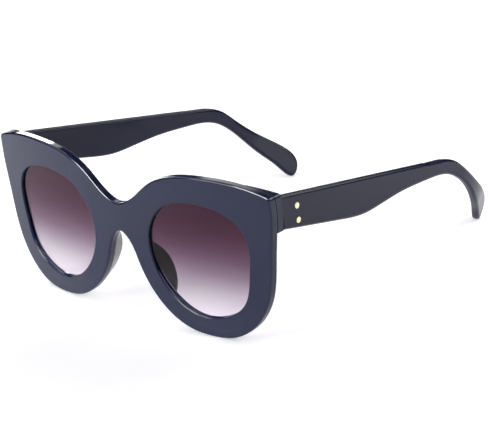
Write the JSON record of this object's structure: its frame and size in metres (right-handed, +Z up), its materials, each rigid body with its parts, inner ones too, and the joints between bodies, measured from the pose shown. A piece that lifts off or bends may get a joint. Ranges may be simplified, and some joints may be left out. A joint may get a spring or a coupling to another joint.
{
  "type": "oversized sunglasses",
  "caption": "Oversized cat-eye sunglasses with thick flat rims, gradient lenses, nose pads and hinged temples that fold flat behind the front.",
  "frame": {"origin": "centre of the bounding box at the table, under the open sunglasses", "axes": "+Z up; +Y from the front towards the temple tips; +X towards the right-hand lens as the picture shows it"},
  "size_m": [0.1488, 0.1508, 0.0635],
  "materials": {
    "frame_plastic": "polished slate-blue plastic",
    "temple_plastic": "polished slate-blue plastic",
    "pad_plastic": "polished grey plastic",
    "lens": "plum tint that fades to nearly clear at the bottom",
    "hinge_metal": "satin nickel",
    "screw_metal": "bright turned steel",
    "core_wire": "drawn wire",
    "rivet_metal": "pale gold, polished"
  },
  "bodies": {
    "front": {"frame_front": "frame_plastic", "lens_right": "lens", "lens_left": "lens", "end_block_right": "frame_plastic", "end_block_left": "frame_plastic", "nose_pad_right": "pad_plastic", "nose_pad_left": "pad_plastic", "hinge_front_leaf_right": "hinge_metal", "hinge_front_leaf_left": "hinge_metal", "hinge_screw_right": "screw_metal", "hinge_screw_left": "screw_metal"},
    "temple_arm_right": {"temple_right": "temple_plastic", "temple_core_right": "core_wire", "hinge_temple_leaf_right": "hinge_metal", "temple_rivets_right": "rivet_metal"},
    "temple_arm_left": {"temple_left": "temple_plastic", "temple_core_left": "core_wire", "hinge_temple_leaf_left": "hinge_metal", "temple_rivets_left": "rivet_metal"}
  },
  "joints": [
    {"name": "temple_right_fold", "type": "hinge", "parent": "front", "child": "temple_arm_right", "pos_m": [0.06879, -0.05985, 0.04954], "axis": [0, -0.0173, 0.9999], "range_deg": [0, 82]},
    {"name": "temple_left_fold", "type": "hinge", "parent": "front", "child": "temple_arm_left", "pos_m": [-0.06879, -0.05985, 0.04954], "axis": [0, 0.0173, -0.9999], "range_deg": [0, 68]}
  ]
}
